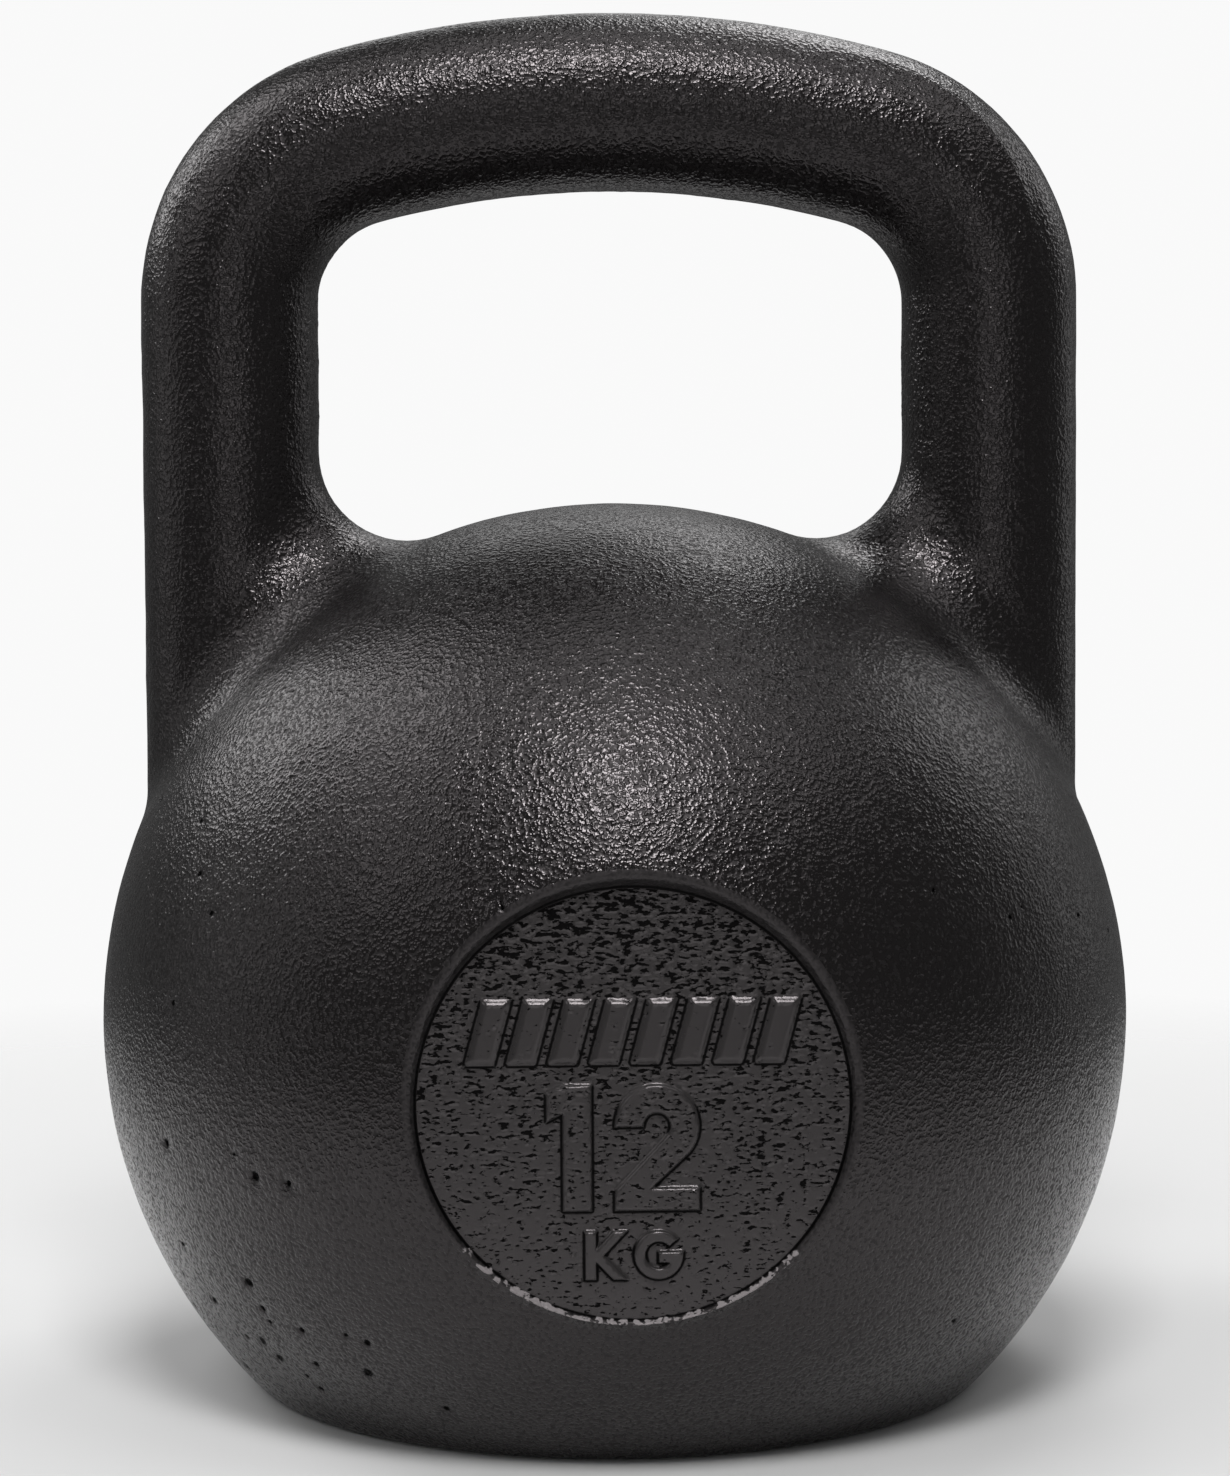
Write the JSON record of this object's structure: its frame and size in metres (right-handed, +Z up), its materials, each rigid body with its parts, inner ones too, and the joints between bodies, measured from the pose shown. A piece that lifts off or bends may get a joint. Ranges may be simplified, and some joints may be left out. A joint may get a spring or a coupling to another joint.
{
  "type": "kettlebell",
  "caption": "Round cast iron kettlebell with a flat base, a wide upright loop handle and a sunk round face with a raised weight mark; hollow, ballasted and closed with a plug.",
  "frame": {"origin": "middle of the flat base it stands on", "axes": "+Z up, +X along the handle's bar, -Y out of the marked face"},
  "size_m": [0.21, 0.2031, 0.2789],
  "materials": {
    "powder_coated_iron": "satin",
    "zinc_plated_steel": "satin",
    "vulcanised_fibre": "matte",
    "steel_shot": "satin",
    "cast_resin": "gloss"
  },
  "bodies": {
    "root": {"bell_casting": "powder_coated_iron", "base_plug": "zinc_plated_steel", "plug_washer": "vulcanised_fibre", "ballast_shot": "steel_shot", "ballast_resin": "cast_resin"}
  },
  "joints": []
}
